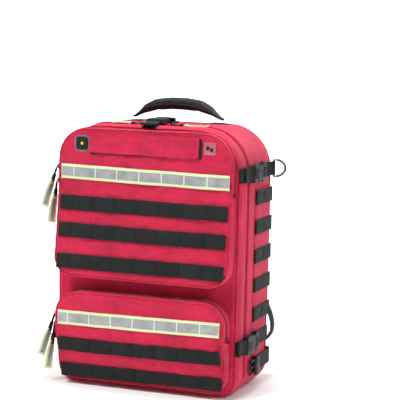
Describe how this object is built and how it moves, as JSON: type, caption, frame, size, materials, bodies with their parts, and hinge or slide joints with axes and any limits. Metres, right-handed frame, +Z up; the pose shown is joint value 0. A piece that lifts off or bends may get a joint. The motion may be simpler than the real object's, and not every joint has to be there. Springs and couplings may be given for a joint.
{
  "type": "medical backpack",
  "caption": "Clamshell trauma backpack with zipped front pockets, reflective bands, webbing rows, side-release compression straps, carry handle and padded harness.",
  "frame": {"origin": "on the ground under the middle of the pack's overall box", "axes": "+Z up, front pockets towards -Y, back panel and harness towards +Y, wearer's right-hand side of the front view towards +X"},
  "size_m": [0.3822, 0.2411, 0.492],
  "materials": {
    "red_fabric": "coated woven nylon, matte with a soft sheen",
    "webbing": "ribbed polyamide webbing, matte",
    "harness_padding": "padded woven fabric, matte",
    "reflective_tape": "silver grey reflective tape with pale lime borders",
    "black_plastic": "moulded acetal, satin",
    "ring_plastic": "moulded acetal, gloss",
    "zip_metal": "black enamelled zip slider, satin",
    "pull_tab": "lime tape tab with a grey reflective middle on a black cord",
    "mesh": "black knitted mesh and padded fabric, matte"
  },
  "bodies": {
    "pack": {"rear_shell": "red_fabric", "back_pad": "harness_padding", "side_webbing_left": "webbing", "side_webbing_right": "webbing", "top_rear_strap": "webbing", "buckle_socket_upper_left": "black_plastic", "buckle_socket_upper_right": "black_plastic", "buckle_socket_lower_left": "black_plastic", "buckle_socket_lower_right": "black_plastic", "buckle_socket_top": "black_plastic"},
    "shelf": {"divider_shelf": "mesh"},
    "handle": {"carry_handle": "harness_padding"},
    "lid": {"lid_shell": "red_fabric", "lid_mesh_pocket": "mesh", "upper_pocket": "red_fabric", "upper_webbing_rows": "webbing", "lower_pocket": "red_fabric", "lower_webbing_rows": "webbing", "front_strap_upper_left": "webbing", "front_strap_upper_right": "webbing", "front_strap_lower_left": "webbing", "front_strap_lower_right": "webbing", "top_front_strap": "webbing"},
    "upper_flap": {"upper_flap": "red_fabric", "upper_reflective_band": "reflective_tape"},
    "id_cover": {"id_flap": "red_fabric"},
    "lower_flap": {"lower_flap": "red_fabric", "lower_reflective_band": "reflective_tape"},
    "buckle_plug_upper_left": {"buckle_plug_upper_left": "black_plastic"},
    "buckle_plug_lower_left": {"buckle_plug_lower_left": "black_plastic"},
    "buckle_plug_upper_right": {"buckle_plug_upper_right": "black_plastic"},
    "buckle_plug_lower_right": {"buckle_plug_lower_right": "black_plastic"},
    "buckle_plug_top": {"buckle_plug_top": "black_plastic"},
    "d_ring_left": {"d_ring_left": "ring_plastic"},
    "d_ring_right": {"d_ring_right": "ring_plastic"},
    "shoulder_left": {"shoulder_strap_left": "harness_padding", "ladder_lock_left": "black_plastic"},
    "shoulder_webbing_left": {"shoulder_webbing_left": "webbing"},
    "sternum_left": {"sternum_strap_left": "webbing", "sternum_buckle": "black_plastic"},
    "hip_left": {"hip_strap_left": "webbing", "hip_socket": "black_plastic"},
    "shoulder_right": {"shoulder_strap_right": "harness_padding", "ladder_lock_right": "black_plastic"},
    "shoulder_webbing_right": {"shoulder_webbing_right": "webbing"},
    "sternum_right": {"sternum_strap_right": "webbing"},
    "hip_right": {"hip_strap_right": "webbing", "hip_plug": "black_plastic"},
    "slider_upper_zip_a": {"slider_upper_zip_a": "zip_metal"},
    "pull_upper_zip_a": {"pull_upper_zip_a": "pull_tab"},
    "slider_upper_zip_b": {"slider_upper_zip_b": "zip_metal"},
    "pull_upper_zip_b": {"pull_upper_zip_b": "pull_tab"},
    "slider_lower_zip_a": {"slider_lower_zip_a": "zip_metal"},
    "pull_lower_zip_a": {"pull_lower_zip_a": "pull_tab"},
    "slider_lower_zip_b": {"slider_lower_zip_b": "zip_metal"},
    "pull_lower_zip_b": {"pull_lower_zip_b": "pull_tab"},
    "slider_main_zip_left": {"slider_main_zip_left": "zip_metal"},
    "pull_main_zip_left": {"pull_main_zip_left": "pull_tab"},
    "slider_main_zip_right": {"slider_main_zip_right": "zip_metal"},
    "pull_main_zip_right": {"pull_main_zip_right": "pull_tab"}
  },
  "joints": [
    {"name": "lid_hinge", "type": "hinge", "parent": "pack", "child": "lid", "pos_m": [0, -0.045, 0], "axis": [1, 0, 0], "range_deg": [0, 100]},
    {"name": "upper_flap_hinge", "type": "hinge", "parent": "lid", "child": "upper_flap", "pos_m": [0, -0.097, 0.3403], "axis": [1, 0, 0], "range_deg": [0, 120]},
    {"name": "id_cover_hinge", "type": "hinge", "parent": "upper_flap", "child": "id_cover", "pos_m": [0, -0.0993, 0.437], "axis": [-1, 0, 0], "range_deg": [0, 150]},
    {"name": "lower_flap_hinge", "type": "hinge", "parent": "lid", "child": "lower_flap", "pos_m": [0, -0.12, 0.1003], "axis": [1, 0, 0], "range_deg": [0, 120]},
    {"name": "shelf_fold", "type": "hinge", "parent": "pack", "child": "shelf", "pos_m": [0, 0.077, 0.234], "axis": [-1, 0, 0], "range_deg": [0, 80]},
    {"name": "handle_fold", "type": "hinge", "parent": "pack", "child": "handle", "pos_m": [0, 0.054, 0.4565], "axis": [1, 0, 0], "range_deg": [-40, 40]},
    {"name": "release_upper_left", "type": "slide", "parent": "lid", "child": "buckle_plug_upper_left", "axis": [0, -1, 0], "range_m": [0, 0.028]},
    {"name": "release_lower_left", "type": "slide", "parent": "lid", "child": "buckle_plug_lower_left", "axis": [0, -1, 0], "range_m": [0, 0.028]},
    {"name": "release_upper_right", "type": "slide", "parent": "lid", "child": "buckle_plug_upper_right", "axis": [0, -1, 0], "range_m": [0, 0.028]},
    {"name": "release_lower_right", "type": "slide", "parent": "lid", "child": "buckle_plug_lower_right", "axis": [0, -1, 0], "range_m": [0, 0.028]},
    {"name": "release_top", "type": "slide", "parent": "lid", "child": "buckle_plug_top", "axis": [0, -1, 0], "range_m": [0, 0.028]},
    {"name": "d_ring_swing_left", "type": "hinge", "parent": "pack", "child": "d_ring_left", "pos_m": [-0.1702, 0.077, 0.376], "axis": [0, 0, -1], "range_deg": [-50, 60]},
    {"name": "d_ring_swing_right", "type": "hinge", "parent": "pack", "child": "d_ring_right", "pos_m": [0.1702, 0.077, 0.376], "axis": [0, 0, 1], "range_deg": [-50, 60]},
    {"name": "shoulder_lift_left", "type": "hinge", "parent": "pack", "child": "shoulder_left", "pos_m": [-0.062, 0.0983, 0.43], "axis": [1, 0, 0], "range_deg": [0, 12]},
    {"name": "webbing_sway_left", "type": "hinge", "parent": "pack", "child": "shoulder_webbing_left", "pos_m": [-0.15, 0.0986, 0.059], "axis": [-1, 0, 0], "range_deg": [0, 24]},
    {"name": "sternum_slide_left", "type": "slide", "parent": "shoulder_left", "child": "sternum_left", "axis": [0, 0, 1], "range_m": [-0.025, 0.025]},
    {"name": "hip_swing_left", "type": "hinge", "parent": "pack", "child": "hip_left", "pos_m": [-0.16, 0.099, 0.043], "axis": [0, 0, -1], "range_deg": [0, 110]},
    {"name": "shoulder_lift_right", "type": "hinge", "parent": "pack", "child": "shoulder_right", "pos_m": [0.062, 0.0983, 0.43], "axis": [1, 0, 0], "range_deg": [0, 12]},
    {"name": "webbing_sway_right", "type": "hinge", "parent": "pack", "child": "shoulder_webbing_right", "pos_m": [0.15, 0.0986, 0.059], "axis": [-1, 0, 0], "range_deg": [0, 24]},
    {"name": "sternum_slide_right", "type": "slide", "parent": "shoulder_right", "child": "sternum_right", "axis": [0, 0, 1], "range_m": [-0.025, 0.025]},
    {"name": "hip_swing_right", "type": "hinge", "parent": "pack", "child": "hip_right", "pos_m": [0.16, 0.099, 0.043], "axis": [0, 0, 1], "range_deg": [0, 110]},
    {"name": "slide_upper_zip_a", "type": "slide", "parent": "lid", "child": "slider_upper_zip_a", "axis": [0, 0, 1], "range_m": [-0.01, 0.02]},
    {"name": "swing_upper_zip_a", "type": "hinge", "parent": "slider_upper_zip_a", "child": "pull_upper_zip_a", "pos_m": [-0.1654, -0.088, 0.376], "axis": [0, 1, 0], "range_deg": [-8, 60]},
    {"name": "slide_upper_zip_b", "type": "slide", "parent": "lid", "child": "slider_upper_zip_b", "axis": [0, 0, 1], "range_m": [-0.004, 0.01]},
    {"name": "swing_upper_zip_b", "type": "hinge", "parent": "slider_upper_zip_b", "child": "pull_upper_zip_b", "pos_m": [-0.1654, -0.088, 0.352], "axis": [0, 1, 0], "range_deg": [-6, 6]},
    {"name": "slide_lower_zip_a", "type": "slide", "parent": "lid", "child": "slider_lower_zip_a", "axis": [0, 0, 1], "range_m": [-0.003, 0.008]},
    {"name": "swing_lower_zip_a", "type": "hinge", "parent": "slider_lower_zip_a", "child": "pull_lower_zip_a", "pos_m": [-0.161, -0.101, 0.124], "axis": [0, 1, 0], "range_deg": [-6, 60]},
    {"name": "slide_lower_zip_b", "type": "slide", "parent": "lid", "child": "slider_lower_zip_b", "axis": [0, 0, 1], "range_m": [-0.006, 0.003]},
    {"name": "swing_lower_zip_b", "type": "hinge", "parent": "slider_lower_zip_b", "child": "pull_lower_zip_b", "pos_m": [-0.161, -0.101, 0.108], "axis": [0, 1, 0], "range_deg": [-7, 4]},
    {"name": "slide_main_zip_left", "type": "slide", "parent": "pack", "child": "slider_main_zip_left", "axis": [-1, 0, 0], "range_m": [0, 0.045]},
    {"name": "swing_main_zip_left", "type": "hinge", "parent": "slider_main_zip_left", "child": "pull_main_zip_left", "pos_m": [-0.0378, -0.045, 0.4521], "axis": [0, 1, 0], "range_deg": [0, 80]},
    {"name": "slide_main_zip_right", "type": "slide", "parent": "pack", "child": "slider_main_zip_right", "axis": [1, 0, 0], "range_m": [0, 0.045]},
    {"name": "swing_main_zip_right", "type": "hinge", "parent": "slider_main_zip_right", "child": "pull_main_zip_right", "pos_m": [0.0378, -0.045, 0.4521], "axis": [0, -1, 0], "range_deg": [0, 80]}
  ],
  "couplings": [
    {"joint": "webbing_sway_left", "follows": "shoulder_lift_left", "ratio": 2},
    {"joint": "webbing_sway_right", "follows": "shoulder_lift_right", "ratio": 2},
    {"joint": "sternum_slide_right", "follows": "sternum_slide_left", "ratio": 1}
  ]
}
